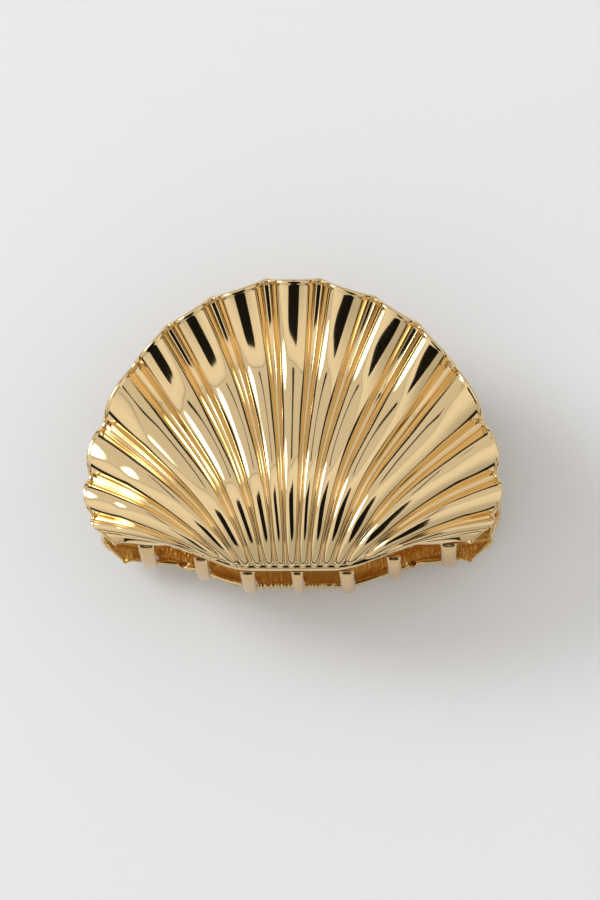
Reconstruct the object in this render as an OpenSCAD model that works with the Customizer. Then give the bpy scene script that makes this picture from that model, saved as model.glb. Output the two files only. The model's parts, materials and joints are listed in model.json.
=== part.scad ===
/* [Jaw outline] */
// Half width of the fan, measured over the rib crests
fan_half_w = 39.7; // [38:0.1:42]
// Height of the fan edge above the fan centre
fan_reach = 38.4; // [37:0.1:41]
// Height of the fan centre above the middle of the lower rim
fan_centre_y = 17.4; // [16.5:0.1:18]
// Exponent of the fan's superellipse, 2 is a true ellipse
fan_power = 1.8; // [1.7:0.05:2]
// Distance that the wings of the lower rim sit above its middle
wing_step = 5.4; // [4.5:0.1:6]
// Distance between rib lines along the middle of the lower rim
rim_pitch = 2.1; // [2:0.05:2.2]

/* [Jaw heights] */
// Distance from the middle plane to the lower rim
rim_z = 12; // [11.5:0.1:12.5]
// Rise of the belly above the lower rim
belly_rise = 6; // [5:0.1:6.5]
// Rise of the waist, where the lever begins, above the lower rim
waist_rise = 1; // [0.5:0.1:1.5]
// Rise of the flared lever edge above the lower rim
lever_rise = 3.3; // [3:0.1:4]
// Wall thickness at the rib crests
wall = 1.4; // [1.3:0.05:1.6]

/* [Ribs] */
// Depth of a groove as a share of the distance between two grooves
groove_ratio = 0.28; // [0.22:0.01:0.3]
// Sideways bow of the rib lines as a share of their length
rib_bow = 0.05; // [0.03:0.005:0.055]

/* [Teeth] */
// Thickness of a tooth, measured towards the hinge
tooth_t = 1.4; // [1.2:0.1:1.6]
// Distance that the tooth tips reach past the middle plane
tooth_overlap = 1.6; // [1:0.1:3]
// Gap between the nested front and rear teeth
tooth_gap = 0.45; // [0.4:0.05:0.6]

/* [Hinge] */
// Height of the hinge axis above the middle of the lower rim
hinge_y = 34; // [33:0.5:35]
// Diameter of the hinge pin
pin_d = 2; // [1.8:0.1:2.2]
// Thickness of each hinge lug
lug_t = 1.6; // [1.4:0.1:1.8]
// Clearance on the radius where the front lugs turn on the pin
pin_clearance = 0.05; // [0.02:0.01:0.09]

/* [Spring] */
// Diameter of the spring wire
wire_d = 1.1; // [0.9:0.1:1.2]
// Number of turns in the coil
spring_turns = 5; // [4:1:6]

/* [Rest] */
// Tilt of the closed clip as it lies on its rear jaw
rest_tilt = 4.1; // [3.5:0.1:4.5]

/* [Hidden] */
$fn = 48;
gold = "#d9b36c";
steel = "#c9c5bb";

// Angle that each rib takes up along the fan edge, from the middle rib outwards
rib_spans = [15, 16.5, 15, 15, 19, 15.5, 12, 7.5];
side_ribs = len(rib_spans) - 1;
half_ribs = side_ribs + 0.5;
// Distance that each rib's end stands out past the fan's own curve, from the middle rib outwards
rib_bulge = [-0.55, -0.2, 0.1, 0.2, 0, -0.35, 0.1, 0];
// Distance that the wing's lower corner is drawn in towards the middle
ear_trim = 1.5;
// Columns over one rib, from groove to groove, and rows from the rim to the fan edge
rib_steps = [-0.5, -0.4, -0.22, 0, 0.22, 0.4];
shell_rows = 15;
row_power = 1.4;
// Shares of a rib's length at which the belly and the waist lie
belly_at = 0.32;
waist_at = 0.745;

// Distance of each tooth from the middle tooth, and its width
tooth_x = [0, 9.5, 18.5, 29];
tooth_w = [2.1, 2.6, 2.5, 2.9];

pin_r = pin_d / 2;
lug_r = pin_r + 1.7;
lug_foot = lug_r + 1;
side_gap = 0.35;
rear_lug_x = 4.7;
rear_lug_z = 12.1;
front_lug_x = rear_lug_x + lug_t + side_gap;
front_lug_z = 12.9;
head_r = pin_r + 0.6;
head_t = 0.5;
head_x = front_lug_x + lug_t + 0.2;

wire_r = wire_d / 2;
wire_sides = 8;
coil_r = pin_r + wire_r + 0.75;
coil_half_l = 3.2;
turn_steps = 14;
leg_tip = [11.5, 9.3];

// Places of the closed clip at rest: its middle along Y, and the hinge plane's height
middle_y = 27.27;
middle_z = 19.28;

function ramp(a) = let(c = max(0, min(1, a))) c * c * (3 - 2 * c);
function mix(a, b, k) = a + (b - a) * k;
function sum_to(v, n, i = 0) = i >= n ? 0 : v[i] + sum_to(v, n, i + 1);

// Plan of the jaw: w counts ribs from the middle, t runs from the rim to the fan edge.
function fan_angle(w) =
    let(a = abs(w) + 0.5, k = min(floor(a), side_ribs))
    sign(w) * (sum_to(rib_spans, k) + (a - k) * rib_spans[k] - rib_spans[0] / 2);
function fan_radius(a) =
    pow(pow(abs(sin(a)) / fan_half_w, fan_power) + pow(abs(cos(a)) / fan_reach, fan_power),
        -1 / fan_power);
function fan_bulge(w) =
    let(k = floor(abs(w) + 0.5), f = abs(w) - k) rib_bulge[min(k, side_ribs)] * (1 - 4 * f * f);
function ear_step(w) = sign(w) * ear_trim * pow(max(0, abs(w) - side_ribs + 0.5), 1.5);
function fan_point(w) =
    let(a = fan_angle(w), r = fan_radius(a) + fan_bulge(w))
    [r * sin(a) - ear_step(w), fan_centre_y + r * cos(a)];
function rim_x(w) = sign(w) * (rim_pitch * abs(w) + 0.76 * pow(max(0, abs(w) - 4.5), 2));
function rim_y(x) = wing_step * ramp((abs(x) - 8) / 20);
function rim_point(w) = let(x = rim_x(w)) [x, rim_y(x)];
function bow(w) = 2 * rib_bow * ramp(abs(w) / 2) * (1 - pow(abs(w) / half_ribs, 8));
function plan(w, t) =
    let(a = rim_point(w), b = fan_point(w), d = b - a)
    a + d * t + 2 * t * (1 - t) * bow(w) * [sign(w) * -d[1], abs(d[0])];
function pitch(w, t) = norm(plan(w + 0.25, t) - plan(w - 0.25, t)) * 2;

// Height of the smooth surface over the rib crests
function hermite(z0, z1, m0, m1, u) =
    z0 * (1 + 2 * u) * pow(1 - u, 2) + z1 * u * u * (3 - 2 * u)
    + m0 * u * pow(1 - u, 2) - m1 * u * u * (1 - u);
function dome(w) = pow(max(0, 1 - pow(abs(w) / half_ribs, 2.4)), 0.6);
function flare(w) = 1 - ramp((abs(w) - 2.2) / 3);
function rise(w, t) =
    let(
        b = belly_rise * dome(w),
        waist = mix(0.6 * b, waist_rise, flare(w)),
        edge = mix(0.2, lever_rise, flare(w)),
        waist_slope = mix(-2.4 * b, 0, flare(w)),
        edge_slope = mix(-3.4 * b, 17, flare(w)))
    t < belly_at ? b * pow(1 - pow(1 - t / belly_at, 2.5), 0.8)
    : t < waist_at
    ? hermite(b, waist, 0, waist_slope * (waist_at - belly_at),
              (t - belly_at) / (waist_at - belly_at))
    : hermite(waist, edge, waist_slope * (1 - waist_at), edge_slope * (1 - waist_at),
              (t - waist_at) / (1 - waist_at));
function crest(w, t) = let(p = plan(w, t)) [p[0], p[1], rim_z + rise(w, t)];
function crest_normal(w, t) =
    let(
        w0 = max(-half_ribs, w - 0.04), w1 = min(half_ribs, w + 0.04),
        t0 = max(0, t - 0.01), t1 = min(1, t + 0.01),
        n = cross(crest(w1, t) - crest(w0, t), crest(w, t1) - crest(w, t0)))
    n / norm(n);

// Depth of the outer and the inner face below the crests, f runs across one rib
function rib_fraction(w) = w - round(w);
function groove_depth(w, t) =
    groove_ratio * pitch(w, t) * ramp(t / 0.06) * ramp((half_ribs - abs(w)) / 0.5);
function outer_depth(w, t) =
    let(f = rib_fraction(w))
    groove_depth(w, t) * (1 - pow(max(0, 1 - pow(abs(2 * f), 2.2)), 0.6));
function inner_depth(w, t) =
    let(follow = 0.85 * ramp((pitch(w, t) - 2.5) / 6), f = rib_fraction(w))
    wall + groove_depth(w, t) * follow * (0.5 - 0.5 * cos(360 * f));
function outer_face(w, t) = crest(w, t) - outer_depth(w, t) * crest_normal(w, t);
function inner_face(w, t) = crest(w, t) - inner_depth(w, t) * crest_normal(w, t);

columns = [for (r = [-side_ribs:side_ribs], f = rib_steps) r + f, half_ribs];
rows = [for (i = [0:shell_rows]) pow(i / shell_rows, row_power)];

module jaw_shell() {
    cols = len(columns);
    count = cols * len(rows);
    outer = [for (t = rows, w = columns) outer_face(w, t)];
    inner = [for (t = rows, w = columns) inner_face(w, t)];
    quads = [
        for (i = [0:shell_rows - 1], j = [0:cols - 2])
            let(a = i * cols + j) [a, a + 1, a + cols + 1, a + cols]];
    last = shell_rows * cols;
    border = [
        for (j = [0:cols - 2]) [j, j + 1],
        for (i = [0:shell_rows - 1]) [i * cols + cols - 1, i * cols + 2 * cols - 1],
        for (j = [cols - 1:-1:1]) [last + j, last + j - 1],
        for (i = [shell_rows:-1:1]) [i * cols, i * cols - cols]];
    faces = [
        for (q = quads) each [[q[0], q[2], q[1]], [q[0], q[3], q[2]]],
        for (q = quads) each [
            [q[0] + count, q[1] + count, q[2] + count],
            [q[0] + count, q[2] + count, q[3] + count]],
        for (e = border) each [
            [e[0], e[1], e[1] + count],
            [e[0], e[1] + count, e[0] + count]]];
    polyhedron(concat(outer, inner), faces, convexity = 12);
}

// Everything below is laid out with the middle plane level, then tilted to rest.
module at_rest() {
    translate([0, -middle_y, middle_z]) rotate([-rest_tilt, 0, 0]) children();
}

module as_rear() {
    mirror([0, 0, 1]) children();
}

// Turns a shape drawn round Z so that it runs round the hinge axis. Its X axis points
// from the hinge to the teeth, and its Y axis away from the jaw that carries the tooth.
module round_hinge(x) {
    translate([x, hinge_y, 0]) rotate([-90, 0, 0]) rotate([0, 90, 0]) children();
}

module tooth_disc(radius, w, t) {
    translate([radius, 0, 0]) rotate([0, 90, 0]) cylinder(r = w / 2, h = t, center = true);
}

// Section of a tooth, a flat bar with bevelled corners
module tooth_section(w) {
    x = tooth_t / 2;
    y = w / 2;
    b = tooth_t / 4;
    polygon([[x, y - b], [x - b, y], [b - x, y], [-x, y - b],
             [-x, b - y], [b - x, -y], [x - b, -y], [x, b - y]]);
}

// One tooth is a strip bent round the hinge axis, from the rim to its round tip.
module tooth(x, w, inset) {
    rim_radius = norm([hinge_y - rim_y(x), rim_z]);
    radius = rim_radius - inset;
    root = asin((rim_z - w / 2 + 0.4) / radius);
    tip = asin((tooth_overlap - w / 2) / radius);
    round_hinge(x) {
        rotate([0, 0, -root])
            rotate_extrude(angle = root + tip)
                translate([radius, 0]) tooth_section(w);
        rotate([0, 0, -root]) tooth_disc(radius + inset / 2, w + 0.2, tooth_t + inset - 0.1);
        rotate([0, 0, tip]) tooth_disc(radius, w - 0.1, tooth_t - 0.1);
    }
}

module teeth(inset) {
    tooth(0, tooth_w[0], inset);
    for (i = [1:len(tooth_x) - 1], side = [-1, 1]) tooth(side * tooth_x[i], tooth_w[i], inset);
}

// A pair of lugs hangs from the inside of a jaw and carries the pin.
module hinge_lugs(x, root_z, bore_r) {
    for (side = [0, 1])
        mirror([side, 0, 0])
            translate([x, hinge_y, 0])
                rotate([90, 0, 90])
                    linear_extrude(lug_t)
                        difference() {
                            union() {
                                circle(lug_r);
                                polygon([[-lug_r, 0], [lug_r, 0], [lug_foot, root_z - 0.5],
                                         [-lug_foot, root_z + 0.5]]);
                            }
                            circle(bore_r);
                        }
}

module pin() {
    translate([0, hinge_y, 0])
        rotate([0, 90, 0]) {
            cylinder(r = pin_r, h = 2 * head_x, center = true);
            for (side = [-1, 1])
                translate([0, 0, side * (head_x + head_t / 2)])
                    cylinder(r = head_r, h = head_t, center = true);
        }
}

// The spring is a coil round the pin with one leg under each lever.
leg_d = norm(leg_tip);
leg_angle = atan2(leg_tip[1], leg_tip[0]) + asin(coil_r / leg_d) - 90;
coil_turn = 360 * spring_turns + 2 * leg_angle;
coil_steps = spring_turns * turn_steps;
coil_path = [
    for (i = [0:coil_steps])
        let(a = coil_turn * i / coil_steps - leg_angle)
        [coil_half_l * (1 - 2 * i / coil_steps), hinge_y + coil_r * cos(a), coil_r * sin(a)]];
spring_path = concat(
    [[coil_half_l, hinge_y + leg_tip[0], -leg_tip[1]]],
    coil_path,
    [[-coil_half_l, hinge_y + leg_tip[0], leg_tip[1]]]);

module wire(path) {
    last = len(path) - 1;
    rings = [
        for (i = [0:last])
            let(
                d = path[min(last, i + 1)] - path[max(0, i - 1)],
                t = d / norm(d),
                u = cross(t, [1, 0, 0]) / norm(cross(t, [1, 0, 0])),
                v = cross(t, u))
            for (k = [0:wire_sides - 1])
                let(a = 360 * k / wire_sides) path[i] + wire_r * (cos(a) * u + sin(a) * v)];
    sides = [
        for (i = [0:last - 1], k = [0:wire_sides - 1])
            let(a = i * wire_sides + k, b = i * wire_sides + (k + 1) % wire_sides)
            [a, b, b + wire_sides, a + wire_sides]];
    faces = [
        for (q = sides) each [[q[0], q[2], q[1]], [q[0], q[3], q[2]]],
        [for (k = [0:wire_sides - 1]) k],
        [for (k = [wire_sides - 1:-1:0]) last * wire_sides + k]];
    polyhedron(rings, faces, convexity = 10);
}

module front_shell() { color(gold) at_rest() jaw_shell(); }
module front_teeth() { color(gold) at_rest() teeth(0.2); }
module front_hinge_lugs() {
    color(gold) at_rest() hinge_lugs(front_lug_x, front_lug_z, pin_r + pin_clearance);
}
module rear_shell() { color(gold) at_rest() as_rear() jaw_shell(); }
module rear_teeth() { color(gold) at_rest() as_rear() teeth(0.2 + tooth_t + tooth_gap); }
module rear_hinge_lugs() {
    color(gold) at_rest() as_rear() hinge_lugs(rear_lug_x, rear_lug_z, pin_r);
}
module hinge_pin() { color(steel) at_rest() pin(); }
module torsion_spring() { color(steel) at_rest() wire(spring_path); }

front_shell();
front_teeth();
front_hinge_lugs();
rear_shell();
rear_teeth();
rear_hinge_lugs();
hinge_pin();
torsion_spring();
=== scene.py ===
"""Shell-shaped hair claw clip: visible jaws, teeth, hinge and spring around the CAD frame.

Every shape is worked out in the clip's own plane in millimetres: X runs along the hinge pin,
Y from the teeth to the fan edge, Z out of the front jaw. ClipPlace lays it down in metres.
"""

import json
import logging
import math
from collections.abc import Callable, Sequence
from dataclasses import dataclass, field
from enum import Enum

import bpy
import numpy as np
from mathutils import Matrix, Vector

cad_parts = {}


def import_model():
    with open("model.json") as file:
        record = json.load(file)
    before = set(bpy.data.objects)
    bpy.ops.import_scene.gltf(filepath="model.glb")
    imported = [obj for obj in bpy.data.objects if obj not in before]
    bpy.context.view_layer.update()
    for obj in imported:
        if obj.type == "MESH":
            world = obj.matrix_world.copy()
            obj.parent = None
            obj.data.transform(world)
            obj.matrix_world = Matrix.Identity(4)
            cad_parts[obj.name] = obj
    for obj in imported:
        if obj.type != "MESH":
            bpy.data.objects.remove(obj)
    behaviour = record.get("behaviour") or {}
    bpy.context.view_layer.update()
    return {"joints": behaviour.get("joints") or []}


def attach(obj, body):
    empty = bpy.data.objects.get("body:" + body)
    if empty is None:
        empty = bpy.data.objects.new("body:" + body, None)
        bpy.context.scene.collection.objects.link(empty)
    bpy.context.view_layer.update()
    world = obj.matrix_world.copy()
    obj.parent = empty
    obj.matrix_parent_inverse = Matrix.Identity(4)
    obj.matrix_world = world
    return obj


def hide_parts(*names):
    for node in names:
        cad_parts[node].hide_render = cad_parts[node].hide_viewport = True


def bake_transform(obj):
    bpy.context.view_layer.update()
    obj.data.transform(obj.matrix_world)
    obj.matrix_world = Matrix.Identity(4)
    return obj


LOG = logging.getLogger("claw_clip")
MM = 0.001
HINGE_Y = 34.0

Array = np.ndarray
Surface = Callable[[Array, Array], Array]


def ramp(a: Array) -> Array:
    """Returns a smooth step that rises from 0 to 1 while a does."""
    c = np.clip(a, 0.0, 1.0)
    return c * c * (3.0 - 2.0 * c)


def mix(a: Array, b: Array, k: Array) -> Array:
    """Returns the value between a and b at share k."""
    return a + (b - a) * k


def hermite(z0: Array, z1: Array, m0: Array, m1: Array, u: Array) -> Array:
    """Returns a cubic curve's height.

    Args:
        z0: Height at u = 0.
        z1: Height at u = 1.
        m0: Slope at u = 0.
        m1: Slope at u = 1.
        u: Share of the way along, from 0 to 1.

    Returns:
        The height at u.
    """
    rest = 1.0 - u
    return (
        z0 * (1.0 + 2.0 * u) * rest**2
        + z1 * u * u * (3.0 - 2.0 * u)
        + m0 * u * rest**2
        - m1 * u * u * rest
    )


@dataclass(frozen=True)
class ClipPlace:
    """Where the clip's own plane lies in the frame: tilted, with its hinge on the CAD joint."""

    hinge: Vector
    hinge_y: float = HINGE_Y
    rest_tilt: float = 4.1

    def matrix(self) -> Matrix:
        """Returns the matrix from clip millimetres to frame metres.

        Returns:
            The matrix, with the hinge on the CAD joint.
        """
        tilt = Matrix.Rotation(math.radians(-self.rest_tilt), 4, "X")
        scale = Matrix.Scale(MM, 4)
        return (
            Matrix.Translation(self.hinge)
            @ tilt
            @ scale
            @ Matrix.Translation((0.0, -self.hinge_y, 0.0))
        )


class Workshop:
    """Small bench tools that the pieces share."""

    @staticmethod
    def clear_selection() -> None:
        """Leaves edit mode and deselects everything."""
        if bpy.context.mode != "OBJECT":
            bpy.ops.object.mode_set(mode="OBJECT")
        bpy.ops.object.select_all(action="DESELECT")

    @classmethod
    def pick(cls, obj: bpy.types.Object) -> None:
        """Makes obj the only selected object, and the active one.

        Args:
            obj: The object to pick.
        """
        cls.clear_selection()
        obj.select_set(True)
        bpy.context.view_layer.objects.active = obj

    @classmethod
    def wrapped_sheet(cls, name: str, surface: Surface, us: Array, vs: Array) -> bpy.types.Object:
        """Moves the points of a flat grid onto a closed surface; its seams are not welded here.

        Args:
            name: The new object's name.
            surface: Gives the points (n, 3) at the parameters u and v.
            us: Parameters of the grid's columns.
            vs: Parameters of the grid's rows.

        Returns:
            The object, in the clip's own millimetres.
        """
        cls.clear_selection()
        bpy.ops.mesh.primitive_grid_add(
            x_subdivisions=len(us) - 1, y_subdivisions=len(vs) - 1, size=1.0
        )
        obj = bpy.context.active_object
        obj.name = name
        obj.data.name = name
        u, v = np.meshgrid(us, vs)
        points = surface(u.ravel(), v.ravel())
        obj.data.vertices.foreach_set("co", points.astype(np.float32).ravel())
        obj.data.update()
        return obj

    @classmethod
    def weld(cls, obj: bpy.types.Object, distance: float) -> None:
        """Merges points closer than distance, closes what is open and turns faces outwards.

        Args:
            obj: The object to weld.
            distance: Largest gap to close.
        """
        cls.pick(obj)
        bpy.ops.object.mode_set(mode="EDIT")
        bpy.ops.mesh.select_all(action="SELECT")
        bpy.ops.mesh.remove_doubles(threshold=distance)
        bpy.ops.mesh.dissolve_degenerate(threshold=distance * 0.5)
        bpy.ops.mesh.normals_make_consistent(inside=False)
        bpy.ops.object.mode_set(mode="OBJECT")

    @classmethod
    def smooth(cls, obj: bpy.types.Object, degrees: float = 60.0) -> None:
        """Shades the object smooth, but keeps edges sharper than degrees."""
        cls.pick(obj)
        bpy.ops.object.shade_smooth_by_angle(angle=math.radians(degrees))

    @classmethod
    def apply(cls, obj: bpy.types.Object, kind: str, **settings: object) -> None:
        """Adds one modifier with its settings and applies it.

        Args:
            obj: The object to work on.
            kind: The modifier's type.
            settings: The modifier's settings, by name.
        """
        cls.pick(obj)
        modifier = obj.modifiers.new(kind.title(), kind)
        for key, value in settings.items():
            setattr(modifier, key, value)
        bpy.ops.object.modifier_apply(modifier=modifier.name)

    @classmethod
    def join(cls, name: str, parts: Sequence[bpy.types.Object]) -> bpy.types.Object:
        """Joins parts into one object with the given name.

        Args:
            name: The joined object's name.
            parts: The objects to join.

        Returns:
            The joined object.
        """
        cls.pick(parts[0])
        for part in parts:
            part.select_set(True)
        bpy.ops.object.join()
        joined = bpy.context.active_object
        joined.name = name
        joined.data.name = name
        return joined

    @staticmethod
    def settle(obj: bpy.types.Object, place: Matrix) -> None:
        """Puts the object's own place into its mesh and lays it down in the frame."""
        obj.data.transform(place @ obj.matrix_world)
        obj.matrix_world = Matrix.Identity(4)


@dataclass(frozen=True)
class JawForm:
    """The shape of one jaw, by rib w (0 in the middle) and by t (0 at the rim, 1 at the fan)."""

    fan_half_w: float = 39.7
    fan_reach: float = 38.4
    fan_centre_y: float = 17.4
    fan_power: float = 1.8
    wing_step: float = 5.4
    rim_pitch: float = 2.1
    rim_z: float = 12.0
    belly_rise: float = 6.0
    waist_rise: float = 1.0
    lever_rise: float = 3.3
    lever_slope: float = 17.0
    lever_ribs: float = 2.2
    lever_fade: float = 3.0
    wing_from: float = 8.0
    wing_run: float = 20.0
    spread_from: float = 4.5
    rim_spread: float = 0.76
    wall: float = 1.35
    inner_follow: float = 0.85
    groove_ratio: float = 0.285
    rib_bow: float = 0.05
    belly_at: float = 0.32
    waist_at: float = 0.745
    rib_spans: tuple[float, ...] = (15.0, 16.5, 15.0, 15.0, 19.0, 15.5, 12.0, 7.5)
    rib_bulge: tuple[float, ...] = (-0.55, -0.45, -0.3, -0.25, -0.2, -0.1, 0.1, 0.0)
    ear_trim: float = 1.5
    ear_round: float = 0.12
    lobe_power: float = 2.7
    lobe_root: float = 0.85
    lobe_share: float = 0.9
    floor_round: float = 0.05
    last_rib: float = 0.64
    end_share: float = 0.79
    end_depth: float = 0.72
    end_run: float = 13.0
    band_width: float = 0.45
    band_fill: float = 0.8
    tongue_length: float = 4.6
    lip_width: float = 0.6
    lip_lift: float = 0.06

    @property
    def half_ribs(self) -> float:
        """Ribs from the middle of the jaw to its outer edge."""
        return len(self.rib_spans) - 0.5

    def fan_point(self, w: Array) -> Array:
        """Returns the plan points of the fan edge at ribs w.

        Args:
            w: Ribs counted from the middle.

        Returns:
            Points (n, 2).
        """
        spans = np.array(self.rib_spans)
        sums = np.concatenate([[0.0], np.cumsum(spans)])
        a = np.abs(w) + 0.5
        k = np.minimum(np.floor(a).astype(int), len(spans) - 1)
        angle = np.radians(np.sign(w) * (sums[k] + (a - k) * spans[k] - spans[0] / 2.0))
        n = self.fan_power
        across = (np.abs(np.sin(angle)) / self.fan_half_w) ** n
        along = (np.abs(np.cos(angle)) / self.fan_reach) ** n
        f = a - 0.5 - k
        r = (across + along) ** (-1.0 / n) + np.array(self.rib_bulge)[k] * (1.0 - 4.0 * f * f)
        ear = self.ear_trim * np.maximum(0.0, a - len(spans) + 1.0) ** 1.5
        x = r * np.sin(angle) - np.sign(w) * ear
        return np.stack([x, self.fan_centre_y + r * np.cos(angle)], -1)

    def rim_y(self, x: Array) -> Array:
        """Returns the height of the lower rim in plan at x."""
        return self.wing_step * ramp((np.abs(x) - self.wing_from) / self.wing_run)

    def rim_point(self, w: Array) -> Array:
        """Returns the plan points of the lower rim at ribs w.

        Args:
            w: Ribs counted from the middle.

        Returns:
            Points (n, 2).
        """
        spread = self.rim_spread * np.maximum(0.0, np.abs(w) - self.spread_from) ** 2
        x = np.sign(w) * (self.rim_pitch * np.abs(w) + spread)
        return np.stack([x, self.rim_y(x)], -1)

    def plan(self, w: Array, t: Array) -> Array:
        """Returns plan points: each rib line is a parabola from the rim to the fan edge.

        Args:
            w: Ribs counted from the middle.
            t: Place along each rib, 0 at the rim and 1 at the fan edge.

        Returns:
            Points (n, 2).
        """
        a = self.rim_point(w)
        d = self.fan_point(w) - a
        bow = 2.0 * self.rib_bow * ramp(np.abs(w) / 2.0)
        bow = bow * (1.0 - (np.abs(w) / self.half_ribs) ** 8)
        side = np.stack([-np.sign(w) * d[..., 1], np.abs(d[..., 0])], -1)
        corner = np.maximum(0.0, np.abs(w) - self.half_ribs + 1.0) ** 3
        t = (t * (1.0 - self.ear_round * corner))[..., None]
        return a + d * t + 2.0 * t * (1.0 - t) * bow[..., None] * side

    def pitch(self, w: Array, t: Array) -> Array:
        """Returns the distance between two grooves around w.

        Args:
            w: Ribs counted from the middle.
            t: Place along each rib, 0 at the rim and 1 at the fan edge.

        Returns:
            The distance, in millimetres.
        """
        inner = np.clip(w, -self.half_ribs + 0.25, self.half_ribs - 0.25)
        step = self.plan(inner + 0.25, t) - self.plan(inner - 0.25, t)
        return 2.0 * np.linalg.norm(step, axis=-1)

    def length(self, w: Array) -> Array:
        """Returns the length of the rib line at w, in plan."""
        return np.linalg.norm(self.fan_point(w) - self.rim_point(w), axis=-1)

    def rise(self, w: Array, t: Array) -> Array:
        """Returns the height of the smooth surface over the rib crests, above the rim.

        Args:
            w: Ribs counted from the middle.
            t: Place along each rib, 0 at the rim and 1 at the fan edge.

        Returns:
            The height, in millimetres.
        """
        inside = np.maximum(0.0, 1.0 - (np.abs(w) / self.half_ribs) ** 2.4)
        b = self.belly_rise * inside**0.6
        flare = 1.0 - ramp((np.abs(w) - self.lever_ribs) / self.lever_fade)
        waist = mix(0.6 * b, self.waist_rise, flare)
        edge = mix(0.2, self.lever_rise, flare)
        waist_slope = mix(-2.4 * b, 0.0, flare)
        edge_slope = mix(-3.4 * b, self.lever_slope, flare)
        first, second = self.belly_at, self.waist_at
        near_rim = np.maximum(0.0, 1.0 - t / first)
        belly = b * (1.0 - near_rim**2.5) ** 0.8
        middle = hermite(
            b, waist, 0.0, waist_slope * (second - first), (t - first) / (second - first)
        )
        lever = hermite(
            waist,
            edge,
            waist_slope * (1.0 - second),
            edge_slope * (1.0 - second),
            (t - second) / (1.0 - second),
        )
        return np.where(t < first, belly, np.where(t < second, middle, lever))

    def crest(self, w: Array, t: Array) -> Array:
        """Returns points on the smooth surface over the rib crests."""
        return np.concatenate([self.plan(w, t), (self.rim_z + self.rise(w, t))[..., None]], -1)

    def crest_normal(self, w: Array, t: Array) -> Array:
        """Returns the outward normal of the smooth surface.

        Args:
            w: Ribs counted from the middle.
            t: Place along each rib, 0 at the rim and 1 at the fan edge.

        Returns:
            Unit vectors (n, 3).
        """
        edge = self.half_ribs
        w0, w1 = np.maximum(-edge, w - 0.04), np.minimum(edge, w + 0.04)
        t0, t1 = np.maximum(0.0, t - 0.01), np.minimum(1.0, t + 0.01)
        across = self.crest(w1, t) - self.crest(w0, t)
        n = np.cross(across, self.crest(w, t1) - self.crest(w, t0))
        return n / np.linalg.norm(n, axis=-1, keepdims=True)

    def rib_fraction(self, w: Array) -> Array:
        """Returns the place across a rib: 0 on its crest, +-0.5 in the grooves beside it.

        Args:
            w: Ribs counted from the middle.

        Returns:
            The place across the rib, from -0.5 to 0.5.
        """
        a = np.abs(w)
        f = a - np.floor(a + 0.5)
        last = self.half_ribs - 1.0
        outer = (a - last) / self.last_rib - 0.5
        return np.where(a > last, outer, f)

    def outer_relief(self, w: Array, t: Array) -> Array:
        """Returns how far the outer face lies above the smooth surface: ribs with round ends.

        Args:
            w: Ribs counted from the middle.
            t: Place along each rib, 0 at the rim and 1 at the fan edge.

        Returns:
            The height, negative in the grooves.
        """
        last = self.half_ribs - 1.0
        rib_pitch = self.pitch(w, t) * np.where(np.abs(w) > last, self.last_rib, 1.0)
        d = t * self.length(w)
        to_fan = (1.0 - t) * self.length(w)
        half = 0.5 * rib_pitch * mix(self.end_share, self.lobe_share, ramp(d / self.tongue_length))
        across = np.abs(self.rib_fraction(w)) * rib_pitch
        along = np.maximum(self.band_width + half - d, 0.0)
        share = np.minimum(np.hypot(across, along) / half, 1.0)
        lobe = np.hypot((1.0 - share**self.lobe_power) ** self.lobe_root, self.floor_round)
        lobe = (lobe - self.floor_round) / (1.0 - self.floor_round)
        band = 1.0 - ramp((d - self.band_width + 0.2) / 0.4)
        lobe = mix(lobe, 1.0, self.band_fill * band)
        lip = 1.0 - ramp((to_fan - self.lip_width + 0.35) / 0.35)
        wing = ramp((np.abs(w) - last - self.last_rib + 0.3) / 0.4)
        depth = self.groove_ratio * rib_pitch * mix(self.end_depth, 1.0, ramp(d / self.end_run))
        depth = depth * (1.0 - 0.5 * wing) * (1.0 - 0.2 * lip)
        return depth * (lobe - 1.0) + self.lip_lift * lip

    def inner_relief(self, w: Array, t: Array) -> Array:
        """Returns how far the inner face lies below the smooth surface.

        Args:
            w: Ribs counted from the middle.
            t: Place along each rib, 0 at the rim and 1 at the fan edge.

        Returns:
            The depth, in millimetres.
        """
        f = self.rib_fraction(w)
        rib_pitch = self.pitch(w, t)
        follow = self.inner_follow * ramp((rib_pitch - 2.5) / 6.0)
        depth = self.groove_ratio * rib_pitch * ramp(t / 0.06)
        edge = ramp((self.half_ribs - 0.25 - np.abs(w)) / 0.9)
        return self.wall + depth * follow * edge * (0.5 - 0.5 * np.cos(2.0 * math.pi * f))


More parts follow.
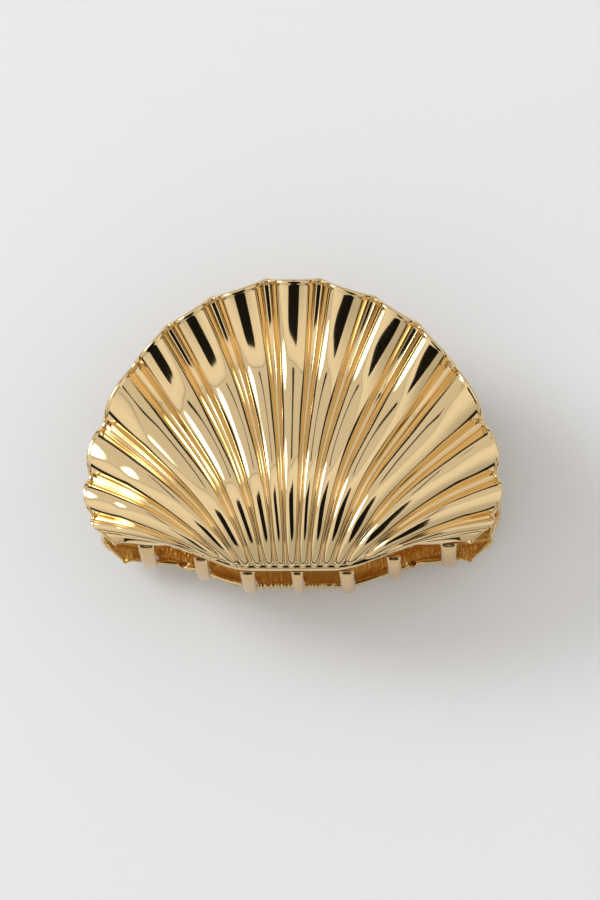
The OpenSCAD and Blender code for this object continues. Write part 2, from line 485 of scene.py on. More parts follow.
@dataclass
class JawShell:
    """One ribbed jaw: an outer face, a rolled fan edge, an inner face and a rounded rim."""

    form: JawForm
    rib_columns: int = 13
    outer_rows: int = 104
    inner_rows: int = 44
    edge_rows: int = 7
    rim_ripple: float = 0.0

    def columns(self) -> Array:
        """Returns the rib parameters of the columns, closer together beside the grooves.

        Returns:
            The rib parameters, from the left wing to the right.
        """
        half = np.arange(self.rib_columns + 1) / self.rib_columns
        f = 0.5 * (1.0 - (1.0 - half) ** 1.7)
        f = np.concatenate([-f[::-1], f[1:]])
        count = len(self.form.rib_spans) - 1
        ribs = [r + f[:-1] for r in range(-count, count + 1)]
        inner = np.concatenate([*ribs, [count + 0.5]])
        last = count - 0.5
        share = self.form.last_rib
        outer = last + np.concatenate([(f + 0.5) * share, np.linspace(share, 1.0, 14)[1:]])
        middle = inner[(inner > -last - 1e-9) & (inner < last + 1e-9)]
        return np.concatenate([-outer[::-1], middle[1:-1], outer])

    def surface(self, u: Array, v: Array) -> Array:
        """Returns points of the closed jaw.

        Args:
            u: Rib parameter, and past the last rib the angle round the wing's edge.
            v: 0 to 1 outer face, 1 to 2 fan edge, 2 to 3 inner face, 3 to 4 lower rim.

        Returns:
            The points, in the clip's own millimetres.
        """
        form = self.form
        edge = form.half_ribs
        w = np.clip(u, -edge, edge)
        turn = np.clip(np.abs(u) - edge, 0.0, 1.0) * math.pi / 2.0
        t = np.select([v <= 1.0, v <= 2.0, v <= 3.0], [v, 1.0, 3.0 - v], 0.0)
        crest = form.crest(w, t)
        normal = form.crest_normal(w, t)
        high = form.outer_relief(w, t)[:, None]
        low = -form.inner_relief(w, t)[:, None]
        outer = crest + normal * high
        inner = crest + normal * low
        middle = (outer + inner) / 2.0
        half = (outer - inner) / 2.0
        side = np.where(v <= 1.0, 1.0, -1.0)
        on_fan = (v > 1.0) & (v < 2.0)
        on_rim = v > 3.0
        angle = np.select([on_fan, on_rim], [(v - 1.0) * math.pi, (v - 2.0) * math.pi], 0.0)
        ahead, behind = np.minimum(1.0, t + 0.01), np.maximum(0.0, t - 0.01)
        along = form.crest(w, ahead) - form.crest(w, behind)
        along /= np.linalg.norm(along, axis=-1, keepdims=True)
        thickness = np.linalg.norm(half, axis=-1, keepdims=True)
        on_edge = on_fan | on_rim
        cos = np.where(on_edge, np.cos(angle), side)[:, None]
        sin = np.where(on_edge, np.abs(np.sin(angle)), 0.0)[:, None]
        end = np.where(v > 2.0, -1.0, 1.0)[:, None]
        bulge = 0.8 * np.minimum(thickness, 0.6)
        points = middle + half * cos * np.cos(turn)[:, None] + along * end * sin * bulge
        tangent = form.crest(np.sign(w) * edge, t) - form.crest(np.sign(w) * (edge - 0.02), t)
        tangent /= np.maximum(np.linalg.norm(tangent, axis=-1, keepdims=True), 1e-9)
        points += tangent * np.sin(turn)[:, None] * bulge * np.abs(cos)
        if self.rim_ripple:
            near_rim = np.where(v > 2.5, 1.0 - ramp(t / 0.05), 0.0) * ramp(6.0 - np.abs(w))
            wave = np.sin(7.3 * w) + np.sin(12.1 * w + 1.3) + np.sin(19.7 * w + 0.4)
            points += normal * (self.rim_ripple * near_rim * wave / 3.0)[:, None]
        return points

    def rows(self) -> Array:
        """Returns the row parameters, closer together near the rim and the fan edge.

        Returns:
            The row parameters, from 0 to 4.
        """
        k = np.arange(self.outer_rows + 1) / self.outer_rows
        outer = mix(k**1.7, 1.0 - (1.0 - k) ** 1.5, ramp(k))
        j = np.arange(self.inner_rows + 1) / self.inner_rows
        inner = mix(j**1.5, 1.0 - (1.0 - j) ** 1.5, ramp(j))
        arc = np.arange(1, self.edge_rows + 1) / (self.edge_rows + 1)
        return np.concatenate([outer, 1.0 + arc, 2.0 + inner, 3.0 + arc, [4.0]])

    def build(self, name: str, place: Matrix, rear: bool) -> bpy.types.Object:
        """Makes the jaw's mesh in the frame.

        Args:
            name: The new object's name.
            place: Matrix from clip millimetres to the frame.
            rear: True for the rear jaw, the front jaw's mirror image.

        Returns:
            The finished object, with the attribute inside on its inner face.
        """
        edge = self.form.half_ribs
        arc = edge + np.array([0.33, 0.66, 1.0])
        us = np.concatenate([-arc[::-1], self.columns(), arc])
        obj = Workshop.wrapped_sheet(name, self.surface, us, self.rows())
        _, v = np.meshgrid(us, self.rows())
        inside = ramp((v.ravel() - 1.7) / 0.35) * (1.0 - ramp((v.ravel() - 2.97) / 0.4))
        layer = obj.data.attributes.new("inside", "FLOAT", "POINT")
        layer.data.foreach_set("value", inside.astype(np.float32))
        if rear:
            obj.data.transform(Matrix.Scale(-1.0, 4, (0.0, 0.0, 1.0)))
        Workshop.weld(obj, 0.004)
        Workshop.settle(obj, place)
        Workshop.smooth(obj, 75.0)
        return obj


@dataclass
class Teeth:
    """The row of bent teeth on one jaw, each a bar curved round the hinge axis."""

    form: JawForm
    hinge_y: float = HINGE_Y
    thickness: float = 1.4
    overlap: float = 2.0
    root_sink: float = 0.85
    corner_power: float = 0.85
    root_taper: float = 1.04
    tip_taper: float = 0.93
    gap: float = 0.45
    shift: float = 0.9
    places: tuple[float, ...] = (0.0, 9.4, 18.3, 28.7)
    widths: tuple[float, ...] = (2.1, 2.6, 2.5, 2.9)

    def tooth_surface(self, x: float, width: float, inset: float) -> Surface:
        """Returns the closed surface of one tooth.

        Args:
            x: Place of the tooth along the hinge axis.
            width: Width of the tooth.
            inset: Distance of its middle line inside the rim's own arc round the hinge.

        Returns:
            A function of u (round the section) and v (from root to tip).
        """
        rim_y = float(self.form.rim_y(np.array([x]))[0])
        radius = math.hypot(self.hinge_y - rim_y, self.form.rim_z) - inset
        root = math.asin((self.form.rim_z - self.root_sink) / radius)
        tip = math.asin(self.overlap / radius)
        arc_length = (root + tip) * radius

        def surface(u: Array, v: Array) -> Array:
            """Returns the points of the tooth at u and v, both from 0 to 1.

            Args:
                u: Share of the way round the section.
                v: Share of the way from root to tip.

            Returns:
                Points (n, 3).
            """
            a = 2.0 * math.pi * u
            across = np.sign(np.sin(a)) * np.abs(np.sin(a)) ** self.corner_power
            out = np.sign(np.cos(a)) * np.abs(np.cos(a)) ** self.corner_power
            from_tip = (1.0 - v) * arc_length
            cap = width / 2.0
            near = np.clip(1.0 - from_tip / cap, 0.0, 1.0)
            narrow = (1.0 - near**2.4) ** (1.0 / 2.4)
            from_root = v * arc_length
            flare = 1.0 + 0.08 * np.exp(-from_root / 0.9)
            taper = mix(self.root_taper, self.tip_taper, v)
            half_w = width / 2.0 * taper * flare * np.maximum(narrow, 0.0)
            dimple = 0.35 * np.exp(-((from_root - 1.5) ** 2) / 0.1) * (1.0 - across**2)
            pit = np.where(out > 0.0, mix(0.2, 1.0, ramp(from_root / 1.2)) - dimple, 1.0)
            half_t = self.thickness / 2.0 * narrow**0.7 * pit
            angle = mix(-root, tip, v)
            r = radius + half_t * out
            y = self.hinge_y - r * np.cos(angle)
            z = -r * np.sin(angle)
            return np.stack([x + self.shift + half_w * across, y, z], -1)

        return surface

    def build(self, name: str, place: Matrix, rear: bool) -> bpy.types.Object:
        """Makes all the teeth of one jaw as one object in the frame.

        Args:
            name: The new object's name.
            place: Matrix from clip millimetres to the frame.
            rear: True for the rear jaw's teeth, which nest behind the front ones.

        Returns:
            The finished object.
        """
        inset = 0.2 + (self.thickness + self.gap if rear else 0.0)
        us = np.linspace(0.0, 1.0, 29)
        k = np.linspace(0.0, 1.0, 41)
        vs = 1.0 - (1.0 - k) ** 1.35
        made = []
        for i, (x, width) in enumerate(zip(self.places, self.widths)):
            for side in (1.0,) if i == 0 else (-1.0, 1.0):
                tooth = Workshop.wrapped_sheet(
                    f"{name}_{i}", self.tooth_surface(side * x, width, inset), us, vs
                )
                Workshop.weld(tooth, 0.002)
                self.close_root(tooth)
                made.append(tooth)
        obj = Workshop.join(name, made)
        if rear:
            obj.data.transform(Matrix.Scale(-1.0, 4, (0.0, 0.0, 1.0)))
            Workshop.weld(obj, 0.0005)
        Workshop.settle(obj, place)
        Workshop.smooth(obj)
        return obj

    @staticmethod
    def close_root(tooth: bpy.types.Object) -> None:
        """Fills the open root loop, which sits inside the rim.

        Args:
            tooth: A tooth that is open at its root.
        """
        Workshop.pick(tooth)
        bpy.ops.object.mode_set(mode="EDIT")
        bpy.ops.mesh.select_all(action="DESELECT")
        bpy.ops.mesh.select_non_manifold()
        bpy.ops.mesh.edge_face_add()
        bpy.ops.mesh.select_all(action="SELECT")
        bpy.ops.mesh.normals_make_consistent(inside=False)
        bpy.ops.object.mode_set(mode="OBJECT")


@dataclass
class Hinge:
    """The lugs on both jaws, the pin through them and the spring round it."""

    hinge_y: float = HINGE_Y
    pin_r: float = 1.0
    lug_t: float = 1.6
    side_gap: float = 0.35
    rear_lug_x: float = 4.7
    rear_lug_z: float = 12.1
    front_lug_z: float = 12.9
    head_r: float = 1.6
    head_t: float = 0.5
    wire_r: float = 0.55
    spring_turns: int = 5
    coil_half_l: float = 3.2
    leg_tip: tuple[float, float] = (11.5, 9.3)

    @property
    def lug_r(self) -> float:
        """Radius of the round end of a lug."""
        return self.pin_r + 1.7

    @property
    def front_lug_x(self) -> float:
        """Inner face of the front lugs."""
        return self.rear_lug_x + self.lug_t + self.side_gap

    def lug(self, name: str, x: float, root_z: float) -> bpy.types.Object:
        """Makes one lug: a round boss drawn up to a broad foot, with softened edges.

        Args:
            name: The new object's name.
            x: The lug's left face.
            root_z: Height of its foot above the hinge.

        Returns:
            The lug, in clip millimetres.
        """
        Workshop.clear_selection()
        bpy.ops.mesh.primitive_circle_add(vertices=64, radius=self.lug_r, fill_type="NGON")
        obj = bpy.context.active_object
        obj.name = name
        foot = self.lug_r + 1.0
        for vertex in obj.data.vertices:
            y, z = vertex.co.x, vertex.co.y
            if z > 0.01:
                share = z / self.lug_r
                top = root_z - 0.5 * y / foot
                wider = 1.0 + (foot / self.lug_r - 1.0) * share**0.5
                vertex.co = (y * wider, z + (top - self.lug_r) * share, 0.0)
        Workshop.pick(obj)
        bpy.ops.object.mode_set(mode="EDIT")
        bpy.ops.mesh.select_all(action="SELECT")
        bpy.ops.mesh.extrude_region_move(TRANSFORM_OT_translate={"value": (0.0, 0.0, self.lug_t)})
        bpy.ops.mesh.select_all(action="SELECT")
        bpy.ops.mesh.normals_make_consistent(inside=False)
        bpy.ops.object.mode_set(mode="OBJECT")
        Workshop.apply(obj, "BEVEL", width=0.22, segments=3, limit_method="ANGLE")
        stand = Matrix(((0, 0, 1, x), (1, 0, 0, self.hinge_y), (0, 1, 0, 0), (0, 0, 0, 1)))
        obj.data.transform(stand)
        return obj

    def lugs(self, name: str, place: Matrix, rear: bool) -> bpy.types.Object:
        """Makes the pair of lugs of one jaw in the frame.

        Args:
            name: The new object's name.
            place: Matrix from clip millimetres to the frame.
            rear: True for the rear jaw's lugs, which stand inside the front ones.

        Returns:
            The finished object.
        """
        x = self.rear_lug_x if rear else self.front_lug_x
        root_z = self.rear_lug_z if rear else self.front_lug_z
        right = self.lug(f"{name}_right", x, root_z)
        left = self.lug(f"{name}_left", -x - self.lug_t, root_z)
        obj = Workshop.join(name, [right, left])
        if rear:
            obj.data.transform(Matrix.Scale(-1.0, 4, (0.0, 0.0, 1.0)))
        Workshop.weld(obj, 0.0005)
        Workshop.settle(obj, place)
        Workshop.smooth(obj, 40.0)
        return obj

    def pin(self, name: str, place: Matrix) -> bpy.types.Object:
        """Makes the pin with its two peened heads, turned as one piece.

        Args:
            name: The new object's name.
            place: Matrix from clip millimetres to the frame.

        Returns:
            The finished object.
        """
        head_x = self.front_lug_x + self.lug_t + 0.2
        stations = np.array(
            [
                [-head_x - self.head_t, 0.0],
                [-head_x - self.head_t, self.head_r * 0.55],
                [-head_x - self.head_t * 0.72, self.head_r * 0.9],
                [-head_x - self.head_t * 0.3, self.head_r],
                [-head_x, self.head_r * 0.96],
                [-head_x, self.pin_r],
            ]
        )
        profile = np.concatenate([stations, stations[::-1] * (-1.0, 1.0)])

        def surface(u: Array, v: Array) -> Array:
            """Returns points at angle u and at profile station v."""
            x, r = profile[v.astype(int)].T
            return np.stack([x, self.hinge_y + r * np.cos(u), r * np.sin(u)], -1)

        us = np.linspace(0.0, 2.0 * math.pi, 49)
        obj = Workshop.wrapped_sheet(name, surface, us, np.arange(len(profile), dtype=float))
        Workshop.weld(obj, 0.001)
        Workshop.apply(obj, "BEVEL", width=0.08, segments=2, limit_method="ANGLE")
        Workshop.settle(obj, place)
        Workshop.smooth(obj, 35.0)
        return obj

    def spring_path(self) -> Array:
        """Returns the middle line of the spring wire: leg, coil, leg.

        Returns:
            Points (n, 3), from the rear leg's tip to the front leg's.
        """
        coil_r = self.pin_r + self.wire_r + 0.75
        tip_y, tip_z = self.leg_tip
        far = math.hypot(tip_y, tip_z)
        lead = math.atan2(tip_z, tip_y) + math.asin(coil_r / far) - math.pi / 2.0
        count = self.spring_turns * 40
        k = np.arange(count + 1) / count
        a = (2.0 * math.pi * self.spring_turns + 2.0 * lead) * k - lead
        coil = np.stack(
            [
                self.coil_half_l * (1.0 - 2.0 * k),
                self.hinge_y + coil_r * np.cos(a),
                coil_r * np.sin(a),
            ],
            -1,
        )
        rear_tip = np.array([self.coil_half_l, self.hinge_y + tip_y, -tip_z])
        front_tip = np.array([-self.coil_half_l, self.hinge_y + tip_y, tip_z])
        share = np.linspace(0.0, 1.0, 15)[:-1, None]
        rear_leg = mix(rear_tip, coil[0], share)
        front_leg = mix(coil[-1], front_tip, np.linspace(0.0, 1.0, 15)[1:, None])
        return np.concatenate([rear_leg, coil, front_leg])

    def spring(self, name: str, place: Matrix) -> bpy.types.Object:
        """Makes the torsion spring: round wire along its path, with rounded ends.

        Args:
            name: The new object's name.
            place: Matrix from clip millimetres to the frame.

        Returns:
            The finished object.
        """
        path = self.spring_path()
        along = np.gradient(path, axis=0)
        along /= np.linalg.norm(along, axis=-1, keepdims=True)
        side = np.cross(along, (1.0, 0.0, 0.0))
        side /= np.linalg.norm(side, axis=-1, keepdims=True)
        up = np.cross(along, side)
        last = len(path) - 1

        def surface(u: Array, v: Array) -> Array:
            """Returns points at angle u round the wire and at path station v.

            Args:
                u: Angle round the wire.
                v: Station along the path, past its ends in the round caps.

            Returns:
                Points (n, 3).
            """
            i = np.clip(v, 0, last).astype(int)
            past = np.where(v < 0, v, np.where(v > last, v - last, 0.0))
            r = self.wire_r * np.sqrt(np.maximum(0.0, 1.0 - past**2))
            ring = np.cos(u)[:, None] * side[i] + np.sin(u)[:, None] * up[i]
            return path[i] + r[:, None] * ring + along[i] * past[:, None] * self.wire_r * 0.8

        us = np.linspace(0.0, 2.0 * math.pi, 15)
        caps = np.array([1.0, 0.8, 0.45])
        vs = np.concatenate([-caps, np.arange(last + 1), last + caps[::-1]])
        obj = Workshop.wrapped_sheet(name, surface, us, vs)
        Workshop.weld(obj, 0.001)
        Workshop.settle(obj, place)
        Workshop.smooth(obj)
        return obj


class Finish(Enum):
    """The finishes on the clip."""

    POLISHED = "polished_gold"
    # The teeth's finish has a darker base colour than the polished gold: painted shade, with a
    # satin roughness.
    TEETH = "satin_gold_painted_shade"
    CAST = "cast_gold"
    PIN = "hinge_steel"
    SPRING = "spring_steel"

    @property
    def slot(self) -> str:
        """The record's slot: the teeth belong to the polished castings."""
        return Finish.POLISHED.value if self is Finish.TEETH else self.value


@dataclass(frozen=True)
class MetalFinish:
    """A metal surface: a bright base colour with the fine unevenness of casting and polish."""

    name: str
    colour: tuple[float, float, float]
    roughness: float
    wave_size: float = 380.0
    wave_height: float = 0.000001
    grain_size: float = 2600.0
    grain_height: float = 0.0
    # Colour of the inner face: a deeper orange that is painted shade and interreflection of the
    # hollow jaw.
    inner_colour_with_painted_shade: tuple[float, float, float] | None = None
    inner_roughness: float = 0.3
    pit_size: float = 1500.0
    pit_depth: float = 0.00035

    def material(self) -> bpy.types.Material:
        """Returns the node material of this finish.

        Returns:
            The new material.
        """
        made = bpy.data.materials.new(self.name)
        made.use_nodes = True
        nodes, links = made.node_tree.nodes, made.node_tree.links
        shader = nodes["Principled BSDF"]
        shader.inputs["Metallic"].default_value = 1.0
        shader.inputs["Base Color"].default_value = (*self.colour, 1.0)
        shader.inputs["Roughness"].default_value = self.roughness
        place = nodes.new("ShaderNodeTexCoord")
        wave = self.noise(nodes, links, place, self.wave_size, 2.0)
        bump = nodes.new("ShaderNodeBump")
        bump.inputs["Distance"].default_value = self.wave_height
        links.new(wave, bump.inputs["Height"])
        grain = self.noise(nodes, links, place, self.grain_size, 5.0)
        fine = nodes.new("ShaderNodeBump")
        fine.inputs["Distance"].default_value = self.grain_height or self.wave_height * 0.2
        links.new(grain, fine.inputs["Height"])
        links.new(bump.outputs["Normal"], fine.inputs["Normal"])
        links.new(fine.outputs["Normal"], shader.inputs["Normal"])
        if self.inner_colour_with_painted_shade:
            self.dress_inside(nodes, links, shader, fine, place)
        return made

    @staticmethod
    def noise(
        nodes: bpy.types.Nodes,
        links: bpy.types.NodeLinks,
        place: bpy.types.Node,
        size: float,
        detail: float,
    ) -> bpy.types.NodeSocket:
        """Returns the height output of a noise pattern on object coordinates.

        Args:
            nodes: The node tree's nodes.
            links: The node tree's links.
            place: The coordinates node.
            size: Scale of the pattern.
            detail: How many finer layers it has.

        Returns:
            The socket with the pattern's height.
        """
        noise = nodes.new("ShaderNodeTexNoise")
        noise.inputs["Scale"].default_value = size
        noise.inputs["Detail"].default_value = detail
        links.new(place.outputs["Object"], noise.inputs["Vector"])
        return noise.outputs["Fac"]

    def dress_inside(
        self,
        nodes: bpy.types.Nodes,
        links: bpy.types.NodeLinks,
        shader: bpy.types.Node,
        fine: bpy.types.Node,
        place: bpy.types.Node,
    ) -> None:
        """Makes the inner face, marked by the attribute inside, duller and rough-cast, and deepens
        its colour to an orange that is painted shade and gold interreflection of the hollow jaw.

        Args:
            nodes: The node tree's nodes.
            links: The node tree's links.
            shader: The metal's shader.
            fine: The bump node of the outer face.
            place: The coordinates node.
        """
        inside = nodes.new("ShaderNodeAttribute")
        inside.attribute_name = "inside"
        # Mixes in the inner colour: painted shade and interreflection on the inner face.
        colour = nodes.new("ShaderNodeMix")
        colour.data_type = "RGBA"
        colour.inputs["A"].default_value = (*self.colour, 1.0)
        colour.inputs["B"].default_value = (*self.inner_colour_with_painted_shade, 1.0)
        links.new(inside.outputs["Fac"], colour.inputs["Factor"])
        links.new(colour.outputs["Result"], shader.inputs["Base Color"])
        rough = nodes.new("ShaderNodeMapRange")
        rough.inputs["To Min"].default_value = self.roughness
        rough.inputs["To Max"].default_value = self.inner_roughness
        links.new(inside.outputs["Fac"], rough.inputs["Value"])
        links.new(rough.outputs["Result"], shader.inputs["Roughness"])
        stretch = nodes.new("ShaderNodeMapping")
        stretch.inputs["Scale"].default_value = (1.0, 0.35, 0.35)
        links.new(place.outputs["Object"], stretch.inputs["Vector"])
        cast = nodes.new("ShaderNodeTexNoise")
        cast.inputs["Scale"].default_value = self.pit_size
        cast.inputs["Detail"].default_value = 4.0
        links.new(stretch.outputs["Vector"], cast.inputs["Vector"])
        height = nodes.new("ShaderNodeMath")
        height.operation = "MULTIPLY"
        links.new(cast.outputs["Fac"], height.inputs[0])
        links.new(inside.outputs["Fac"], height.inputs[1])
        pits = nodes.new("ShaderNodeBump")
        pits.inputs["Distance"].default_value = self.pit_depth
        links.new(height.outputs["Value"], pits.inputs["Height"])
        links.new(fine.outputs["Normal"], pits.inputs["Normal"])
        links.new(pits.outputs["Normal"], shader.inputs["Normal"])


FINISHES: dict[Finish, MetalFinish] = {
    # The polished gold's inner colour is painted shade and interreflection of the hollow jaw; its
    # rougher, pitted inner face is the rough cast finish.
    Finish.POLISHED: MetalFinish(
        "polished_gold", (0.86, 0.65, 0.355), 0.085, inner_colour_with_painted_shade=(0.72, 0.41, 0.10)
    ),
    # Teeth: base colour darkened below the polished gold as painted shade; the higher roughness is
    # the satin finish.
    Finish.TEETH: MetalFinish("satin_gold_painted_shade", (0.72, 0.50, 0.25), 0.16),
    Finish.CAST: MetalFinish(
        "cast_gold", (0.76, 0.53, 0.22), 0.24, grain_size=1700.0, grain_height=0.00012
    ),
    Finish.PIN: MetalFinish("hinge_steel", (0.80, 0.68, 0.45), 0.22),
    Finish.SPRING: MetalFinish("spring_steel", (0.66, 0.64, 0.60), 0.2),
}


@dataclass
class ClawClip:
    """The whole clip: both jaws with their teeth, and the hinge between them."""

    place: ClipPlace
    form: JawForm = field(default_factory=JawForm)

    def build(self) -> None:
        """Builds every piece and dresses it, and puts each piece except the spring on its body."""
        place = self.place.matrix()
        materials = {kind: finish.material() for kind, finish in FINISHES.items()}
        hinge = Hinge()
        teeth = Teeth(self.form)
        front_shell = JawShell(self.form)
        rear_shell = JawShell(self.form, rim_ripple=0.14)
        jobs = [
            (front_shell.build("front_shell_skin", place, False), "front_shell", Finish.POLISHED),
            (rear_shell.build("rear_shell_skin", place, True), "rear_shell", Finish.POLISHED),
            (teeth.build("front_tooth_row", place, False), "front_teeth", Finish.TEETH),
            (teeth.build("rear_tooth_row", place, True), "rear_teeth", Finish.TEETH),
            (hinge.lugs("front_lug_pair", place, False), "front_hinge_lugs", Finish.CAST),
            (hinge.lugs("rear_lug_pair", place, True), "rear_hinge_lugs", Finish.CAST),
            (hinge.pin("pin_with_heads", place), "hinge_pin", Finish.PIN),
        ]
        for obj, node, kind in jobs:
            self.dress(obj, materials[kind], kind)
            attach(obj, "front_jaw" if node.startswith("front") else "rear_jaw")
            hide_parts(node)
            LOG.info("%s stands for %s: %d points", obj.name, node, len(obj.data.vertices))
        spring = hinge.spring("wound_spring", place)
        self.dress(spring, materials[Finish.SPRING], Finish.SPRING)
        self.wind(spring)
        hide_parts("torsion_spring")
        LOG.info("%s winds between the jaws", spring.name)

    @staticmethod
    def dress(obj: bpy.types.Object, material: bpy.types.Material, kind: Finish) -> None:
        """Gives a piece its material.

        Args:
            obj: The piece.
            material: Its material.
            kind: Its finish; not used.
        """
        obj.data.materials.clear()
        obj.data.materials.append(material)

    def wind(self, spring: bpy.types.Object) -> None:
        """Bakes the spring's place into its mesh; its ends and coil stay fixed.

        Args:
            spring: The spring's object.
        """
        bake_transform(spring)


@dataclass(frozen=True)
class Studio:
    """The pale table, the soft light from the upper left and the overhead camera."""

    distance: float = 0.724
    azimuth: float = 2.4
    elevation: float = 6.6
    aim: tuple[float, float, float] = (0.001, -0.00205, 0.0189)
    lens: float = 150.0128
    sensor: float = 36.0
    card_size: tuple[float, float] = (0.44, 0.62)
    card_drop: float = 0.1
    post_size: tuple[float, float] = (0.09, 0.75)
    post_place: tuple[float, float, float] = (0.0, 0.8, 0.8)
    key_toward: tuple[float, float, float] = (-0.72, 0.38, 0.6)
    key_distance: float = 2.0
    key_radius: float = 0.6
    key_level: float = 12.0
    slant: tuple[float, float, float] = (-0.264, 0.88, -0.36)
    gain: float = 1.2
    skyline: tuple[float, float] = (0.19, 0.29)
    walls: tuple[tuple[float, float], ...] = (
        (0.0, 0.46),
        (0.14, 0.48),
        (0.28, 0.72),
        (0.42, 0.80),
        (0.497, 0.70),
        (0.499, 0.30),
        (0.507, 0.30),
        (0.509, 0.66),
        (0.54, 0.62),
        (0.7, 0.60),
        (1.0, 0.66),
    )

    def toward_camera(self) -> Vector:
        """Returns the direction from the clip to the camera.

        Returns:
            A unit vector.
        """
        back = Vector(
            (math.tan(math.radians(self.azimuth)), -math.tan(math.radians(self.elevation)), 1.0)
        )
        return back.normalized()

    def camera(self) -> None:
        """Places the camera above the clip, with the fan at the top of the picture."""
        data = bpy.data.cameras.new("camera")
        data.sensor_width = self.sensor
        data.lens = self.lens
        obj = bpy.data.objects.new("camera", data)
        bpy.context.scene.collection.objects.link(obj)
        back = self.toward_camera()
        right = Vector((0.0, 1.0, 0.0)).cross(back).normalized()
        up = back.cross(right)
        turn = Matrix((right, up, back)).transposed().to_4x4()
        place = Vector(self.aim) + back * self.distance
        obj.matrix_world = Matrix.Translation(place) @ turn
        bpy.context.scene.camera = obj

    def table(self) -> None:
        """Adds the pale table top."""
        Workshop.clear_selection()
        bpy.ops.mesh.primitive_plane_add(size=4.0)
        top = bpy.context.active_object
        top.name = "table_top"
        made = bpy.data.materials.new("pale_table")
        made.use_nodes = True
        shader = made.node_tree.nodes["Principled BSDF"]
        shader.inputs["Base Color"].default_value = (0.87, 0.876, 0.885, 1.0)
        shader.inputs["Roughness"].default_value = 0.8
        top.data.materials.append(made)

    def dark_cards(self) -> None:
        """Hangs a dark card behind the camera and a dark post beyond the fan, for reflections."""
        back = self.toward_camera()
        made = bpy.data.materials.new("dark_card")
        made.use_nodes = True
        shader = made.node_tree.nodes["Principled BSDF"]
        shader.inputs["Base Color"].default_value = (0.004, 0.004, 0.004, 1.0)
        shader.inputs["Roughness"].default_value = 1.0
        shader.inputs["Specular IOR Level"].default_value = 0.0
        turn = back.to_track_quat("Z", "Y").to_matrix().to_4x4()
        behind = Vector(self.aim) + back * (self.distance + 0.03)
        card = self.card("dark_card", self.card_size, 0.22)
        drop = Matrix.Translation((0.0, -self.card_drop, 0.0))
        card.matrix_world = Matrix.Translation(behind) @ turn @ drop
        post = self.card("dark_post", self.post_size, 0.1)
        post.matrix_world = Matrix.Translation(self.post_place)
        for obj in (card, post):
            obj.data.materials.append(made)
            obj.visible_camera = False
            obj.visible_diffuse = False
            obj.visible_shadow = False

    @staticmethod
    def card(name: str, size: tuple[float, float], rounding: float) -> bpy.types.Object:
        """Returns a flat card with rounded corners.

        Args:
            name: The new object's name.
            size: Its width and height.
            rounding: Corner radius as a share of the shorter side.

        Returns:
            The card, lying flat at the origin.
        """
        Workshop.clear_selection()
        bpy.ops.mesh.primitive_plane_add(size=1.0)
        card = bpy.context.active_object
        card.name = name
        card.data.transform(Matrix.Diagonal((*size, 1.0, 1.0)))
        width = min(size) * rounding
        Workshop.apply(card, "BEVEL", affect="VERTICES", width=width, segments=6)
        return card

    def key_light(self) -> None:
        """Hangs a round soft light to the upper left of the clip, dimmer towards its edge."""
        Workshop.clear_selection()
        bpy.ops.mesh.primitive_circle_add(vertices=48, radius=self.key_radius, fill_type="NGON")
        panel = bpy.context.active_object
        panel.name = "key_light"
        direction = Vector(self.key_toward).normalized()
        turn = direction.to_track_quat("-Z", "Y").to_matrix().to_4x4()
        panel.matrix_world = Matrix.Translation(direction * self.key_distance) @ turn
        made = bpy.data.materials.new("key_light")
        made.use_nodes = True
        nodes, links = made.node_tree.nodes, made.node_tree.links
        nodes.remove(nodes["Principled BSDF"])
        place = nodes.new("ShaderNodeTexCoord")
        far = nodes.new("ShaderNodeVectorMath")
        far.operation = "LENGTH"
        links.new(place.outputs["Object"], far.inputs[0])
        edge = (self.key_radius * 0.25, self.key_radius)
        level = self.span(nodes, links, far.outputs["Value"], edge, (self.key_level, 0.0))
        light = nodes.new("ShaderNodeEmission")
        light.inputs["Color"].default_value = (0.90, 0.96, 1.0, 1.0)
        links.new(level, light.inputs["Strength"])
        links.new(light.outputs["Emission"], nodes["Material Output"].inputs["Surface"])
        panel.data.materials.append(made)
        panel.visible_camera = False
        panel.visible_shadow = False

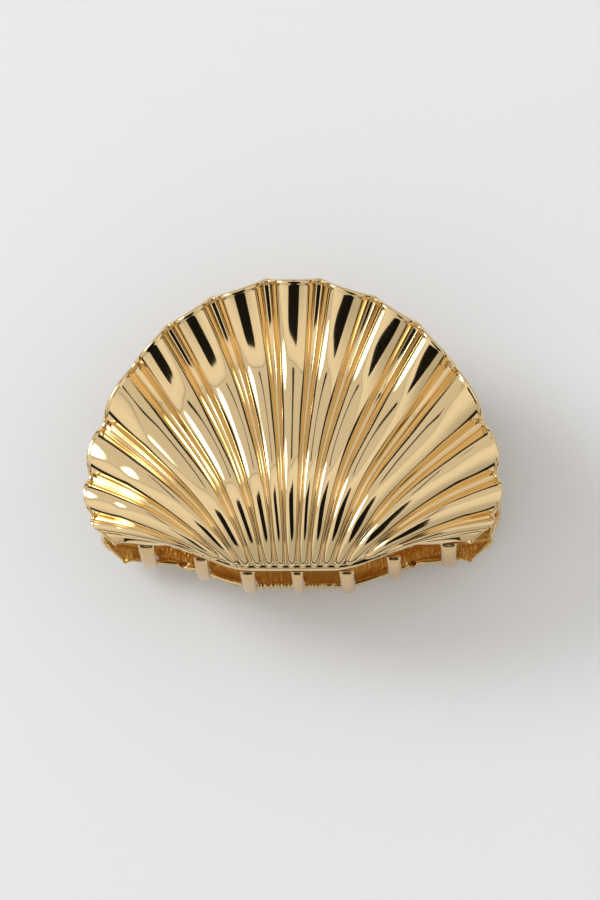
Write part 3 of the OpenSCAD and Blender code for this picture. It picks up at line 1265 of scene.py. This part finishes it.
    @staticmethod
    def span(
        nodes: bpy.types.Nodes,
        links: bpy.types.NodeLinks,
        value: bpy.types.NodeSocket,
        source: tuple[float, float],
        target: tuple[float, float],
    ) -> bpy.types.NodeSocket:
        """Returns a socket that turns value from the range source into the range target.

        Args:
            nodes: The node tree's nodes.
            links: The node tree's links.
            value: The socket to turn.
            source: Its first and last value.
            target: The values to give for those.

        Returns:
            The new socket.
        """
        node = nodes.new("ShaderNodeMapRange")
        node.inputs["From Min"].default_value = source[0]
        node.inputs["From Max"].default_value = source[1]
        node.inputs["To Min"].default_value = target[0]
        node.inputs["To Max"].default_value = target[1]
        links.new(value, node.inputs["Value"])
        return node.outputs["Result"]

    def surroundings(self) -> None:
        """Sets the pale room round the table, brighter on the left than on the right."""
        world = bpy.data.worlds.new("room")
        bpy.context.scene.world = world
        world.use_nodes = True
        nodes, links = world.node_tree.nodes, world.node_tree.links
        background = nodes["Background"]
        place = nodes.new("ShaderNodeTexCoord")
        split = nodes.new("ShaderNodeSeparateXYZ")
        links.new(place.outputs["Generated"], split.inputs["Vector"])
        slant = nodes.new("ShaderNodeVectorMath")
        slant.operation = "DOT_PRODUCT"
        slant.inputs[1].default_value = self.slant
        links.new(place.outputs["Generated"], slant.inputs[0])
        across = self.span(nodes, links, slant.outputs["Value"], (-1.0, 1.0), (0.0, 1.0))
        walls = nodes.new("ShaderNodeFloatCurve")
        curve = walls.mapping.curves[0]
        curve.points[0].location = (0.0, self.walls[0][1])
        curve.points[1].location = (1.0, self.walls[-1][1])
        for at, level in self.walls[1:-1]:
            curve.points.new(at, level)
        for point in curve.points:
            point.handle_type = "VECTOR"
        walls.mapping.update()
        links.new(across, walls.inputs["Value"])
        above = self.span(nodes, links, split.outputs["Z"], self.skyline, (0.01, self.gain))
        strength = nodes.new("ShaderNodeMath")
        strength.operation = "MULTIPLY"
        links.new(walls.outputs["Value"], strength.inputs[0])
        links.new(above, strength.inputs[1])
        links.new(strength.outputs["Value"], background.inputs["Strength"])
        background.inputs["Color"].default_value = (1.0, 0.98, 0.95, 1.0)

    def build(self) -> None:
        """Sets up the whole studio."""
        bpy.context.scene.view_settings.view_transform = "Standard"
        self.surroundings()
        self.table()
        self.dark_cards()
        self.key_light()
        self.camera()


def main() -> None:
    """Builds the clip round the CAD frame, then the studio."""
    logging.basicConfig(level=logging.INFO, format="%(message)s")
    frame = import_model()
    joint = frame["joints"][0]
    clip = ClawClip(ClipPlace(Vector(joint["pos_m"])))
    clip.build()
    Studio().build()


if __name__ == "__main__":
    main()
